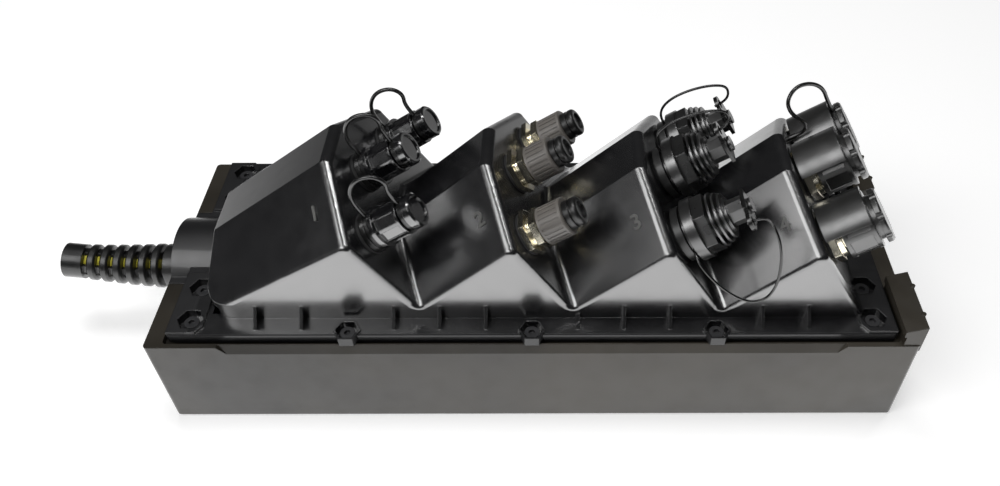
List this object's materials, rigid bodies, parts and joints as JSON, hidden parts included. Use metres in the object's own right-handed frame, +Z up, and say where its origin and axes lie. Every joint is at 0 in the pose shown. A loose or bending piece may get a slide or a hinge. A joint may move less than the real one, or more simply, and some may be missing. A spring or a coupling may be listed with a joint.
{
  "type": "multiport service terminal",
  "caption": "Black multiport fibre service terminal: deep tray, stepped glossy cover with sloping port faces, capped adapters on lanyards and a slotted cable boot.",
  "frame": {"origin": "centre of the tray's flat underside", "axes": "+X along the box, away from the cable boot; +Y towards the back; +Z up out of the tray"},
  "size_m": [0.4377, 0.135, 0.1448],
  "materials": {
    "boot_rubber": "satin",
    "cable_yellow": "satin",
    "cap_finned": "satin",
    "cap_gloss": "gloss",
    "cap_knurled": "satin",
    "cap_shroud": "satin",
    "cord_rubber": "satin",
    "cord_strap": "satin",
    "cord_wire": "gloss",
    "cover_black": "gloss",
    "dark_metal": "satin",
    "gland_grey": "satin",
    "port_black": "satin",
    "ring_black": "satin",
    "seal_rubber": "matte",
    "silver": "satin",
    "sleeve_clear": "gloss",
    "splice_white": "satin",
    "steel": "satin",
    "tray_black": "satin"
  },
  "bodies": {
    "terminal": {"adapter_row1a": "port_black", "adapter_row1b": "port_black", "adapter_row1c": "port_black", "adapter_row2a": "silver", "adapter_row2b": "silver", "adapter_row2c": "silver", "adapter_row3a": "dark_metal", "adapter_row3b": "dark_metal", "adapter_row3c": "dark_metal", "adapter_row4a": "silver", "adapter_row4b": "silver", "adapter_row4c": "silver", "cable_stub": "cable_yellow", "cover": "cover_black", "cover_bolts": "steel", "cover_gasket": "seal_rubber", "gland_body": "gland_grey", "gland_seal": "seal_rubber", "lanyard_rings_row1": "ring_black", "lanyard_rings_row3": "ring_black", "lanyard_rings_row4": "ring_black", "lanyard_row1a": "cord_rubber", "lanyard_row1b": "cord_rubber", "lanyard_row1c": "cord_rubber", "lanyard_row3a": "cord_wire", "lanyard_row3b": "cord_wire", "lanyard_row3c": "cord_wire", "lanyard_row4c": "cord_strap", "lanyard_tabs_row3": "ring_black", "port_nuts_row1": "port_black", "port_nuts_row2": "port_black", "port_nuts_row3": "port_black", "port_nuts_row4": "port_black", "port_seals_row1": "seal_rubber", "port_seals_row2": "seal_rubber", "port_seals_row3": "seal_rubber", "port_seals_row4": "seal_rubber", "splice_screws": "steel", "splice_sleeves": "sleeve_clear", "splice_tray": "splice_white", "strain_relief_boot": "boot_rubber", "tray": "tray_black"},
    "cap_row1a_body": {"cap_row1a": "cap_gloss"},
    "cap_row1b_body": {"cap_row1b": "cap_gloss"},
    "cap_row1c_body": {"cap_row1c": "cap_gloss"},
    "cap_row2a_body": {"cap_row2a": "cap_knurled", "plug_row2a": "boot_rubber"},
    "cap_row2b_body": {"cap_row2b": "cap_knurled", "plug_row2b": "boot_rubber"},
    "cap_row2c_body": {"cap_row2c": "cap_knurled", "plug_row2c": "boot_rubber"},
    "cap_row3a_body": {"cap_row3a": "cap_finned"},
    "cap_row3b_body": {"cap_row3b": "cap_finned"},
    "cap_row3c_body": {"cap_row3c": "cap_finned"},
    "cap_row4a_body": {"cap_row4a": "cap_shroud"},
    "cap_row4b_body": {"cap_row4b": "cap_shroud"},
    "cap_row4c_body": {"cap_row4c": "cap_shroud"},
    "gland_nut_body": {"gland_nut": "gland_grey"}
  },
  "joints": [
    {"name": "turn_cap_row1a", "type": "hinge", "parent": "terminal", "child": "cap_row1a_body", "pos_m": [-0.07514, -0.033, 0.09877], "axis": [0.8403, 0, 0.5421], "continuous": true},
    {"name": "turn_cap_row1b", "type": "hinge", "parent": "terminal", "child": "cap_row1b_body", "pos_m": [-0.08111, 0, 0.10801], "axis": [0.8403, 0, 0.5421], "continuous": true},
    {"name": "turn_cap_row1c", "type": "hinge", "parent": "terminal", "child": "cap_row1c_body", "pos_m": [-0.07514, 0.033, 0.09877], "axis": [0.8403, 0, 0.5421], "continuous": true},
    {"name": "turn_cap_row2a", "type": "hinge", "parent": "terminal", "child": "cap_row2a_body", "pos_m": [-0.00164, -0.033, 0.09767], "axis": [0.8403, 0, 0.5421], "continuous": true},
    {"name": "turn_cap_row2b", "type": "hinge", "parent": "terminal", "child": "cap_row2b_body", "pos_m": [-0.00761, 0, 0.10691], "axis": [0.8403, 0, 0.5421], "continuous": true},
    {"name": "turn_cap_row2c", "type": "hinge", "parent": "terminal", "child": "cap_row2c_body", "pos_m": [-0.00164, 0.033, 0.09767], "axis": [0.8403, 0, 0.5421], "continuous": true},
    {"name": "turn_cap_row3a", "type": "hinge", "parent": "terminal", "child": "cap_row3a_body", "pos_m": [0.06986, -0.033, 0.09657], "axis": [0.8403, 0, 0.5421], "continuous": true},
    {"name": "turn_cap_row3b", "type": "hinge", "parent": "terminal", "child": "cap_row3b_body", "pos_m": [0.06389, 0, 0.10582], "axis": [0.8403, 0, 0.5421], "continuous": true},
    {"name": "turn_cap_row3c", "type": "hinge", "parent": "terminal", "child": "cap_row3c_body", "pos_m": [0.06986, 0.033, 0.09657], "axis": [0.8403, 0, 0.5421], "continuous": true},
    {"name": "turn_cap_row4a", "type": "hinge", "parent": "terminal", "child": "cap_row4a_body", "pos_m": [0.13836, -0.033, 0.09547], "axis": [0.8403, 0, 0.5421], "range_deg": [0, 90]},
    {"name": "turn_cap_row4b", "type": "hinge", "parent": "terminal", "child": "cap_row4b_body", "pos_m": [0.13239, 0, 0.10472], "axis": [0.8403, 0, 0.5421], "range_deg": [0, 90]},
    {"name": "turn_cap_row4c", "type": "hinge", "parent": "terminal", "child": "cap_row4c_body", "pos_m": [0.13836, 0.033, 0.09547], "axis": [0.8403, 0, 0.5421], "range_deg": [0, 90]},
    {"name": "turn_gland_nut", "type": "hinge", "parent": "terminal", "child": "gland_nut_body", "pos_m": [-0.188, 0, 0.042], "axis": [-1, 0, 0], "continuous": true}
  ]
}
